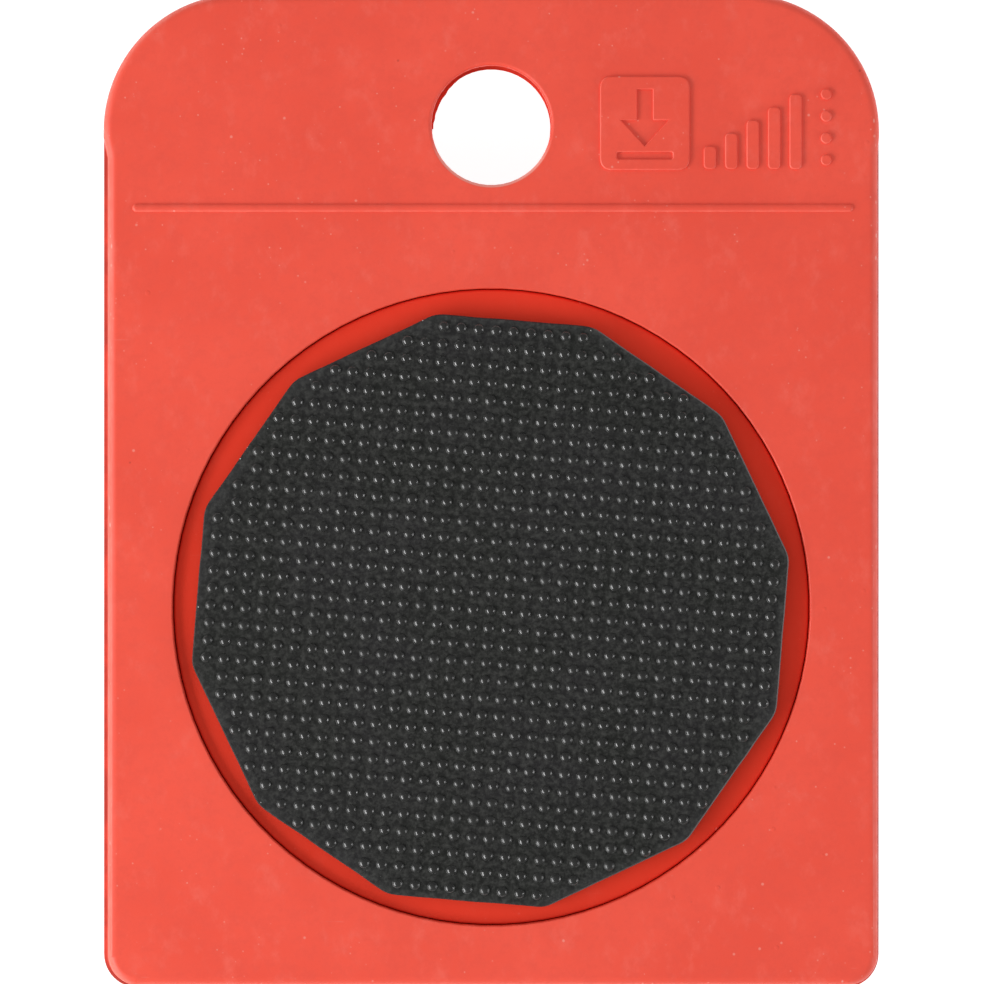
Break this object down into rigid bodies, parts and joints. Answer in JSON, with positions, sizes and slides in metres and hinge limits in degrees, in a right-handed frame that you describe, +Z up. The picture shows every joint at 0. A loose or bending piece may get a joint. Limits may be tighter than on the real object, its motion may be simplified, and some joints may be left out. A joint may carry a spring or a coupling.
{
  "type": "furniture moving roller",
  "caption": "Palm-sized roller plate on small wheels with a hanging tab and a free-turning disc under a dotted rubber pad, for moving furniture.",
  "frame": {"origin": "on the floor, under the middle of the plate's length and width", "axes": "+Y along the plate towards the hanging tab, +Z up through the turntable, +X to the right with the tab pointing away"},
  "size_m": [0.078, 0.1, 0.025],
  "materials": {
    "red_plastic": "satin moulded plastic with faint marks",
    "pad_rubber": "black rubber with raised dots",
    "adhesive_film": "double-sided film",
    "steel": "zinc-plated",
    "wheel_plastic": "black moulded nylon",
    "tyre_rubber": "grey soft tread"
  },
  "bodies": {
    "base": {"base_plate": "red_plastic", "axle_front": "steel", "axle_rear": "steel", "axle_clip_front": "steel", "axle_clip_rear": "steel", "clip_screw_front_fore": "steel", "clip_screw_front_aft": "steel", "clip_screw_rear_fore": "steel", "clip_screw_rear_aft": "steel"},
    "turntable": {"turntable_disc": "red_plastic", "pad_adhesive": "adhesive_film", "grip_pad": "pad_rubber", "pivot_washer": "steel", "pivot_screw": "steel"},
    "wheel_front_left": {"wheel_core_front_left": "wheel_plastic", "tyre_front_left": "tyre_rubber"},
    "wheel_front_right": {"wheel_core_front_right": "wheel_plastic", "tyre_front_right": "tyre_rubber"},
    "wheel_rear_left": {"wheel_core_rear_left": "wheel_plastic", "tyre_rear_left": "tyre_rubber"},
    "wheel_rear_right": {"wheel_core_rear_right": "wheel_plastic", "tyre_rear_right": "tyre_rubber"}
  },
  "joints": [
    {"name": "turntable_spin", "type": "hinge", "parent": "base", "child": "turntable", "pos_m": [0, -0.01165, 0.0221], "axis": [0, 0, 1], "continuous": true},
    {"name": "wheel_front_left_spin", "type": "hinge", "parent": "base", "child": "wheel_front_left", "pos_m": [-0.026, 0.01335, 0.00894], "axis": [1, 0, 0], "continuous": true},
    {"name": "wheel_front_right_spin", "type": "hinge", "parent": "base", "child": "wheel_front_right", "pos_m": [0.026, 0.01335, 0.00894], "axis": [1, 0, 0], "continuous": true},
    {"name": "wheel_rear_left_spin", "type": "hinge", "parent": "base", "child": "wheel_rear_left", "pos_m": [-0.026, -0.03665, 0.00894], "axis": [1, 0, 0], "continuous": true},
    {"name": "wheel_rear_right_spin", "type": "hinge", "parent": "base", "child": "wheel_rear_right", "pos_m": [0.026, -0.03665, 0.00894], "axis": [1, 0, 0], "continuous": true}
  ]
}
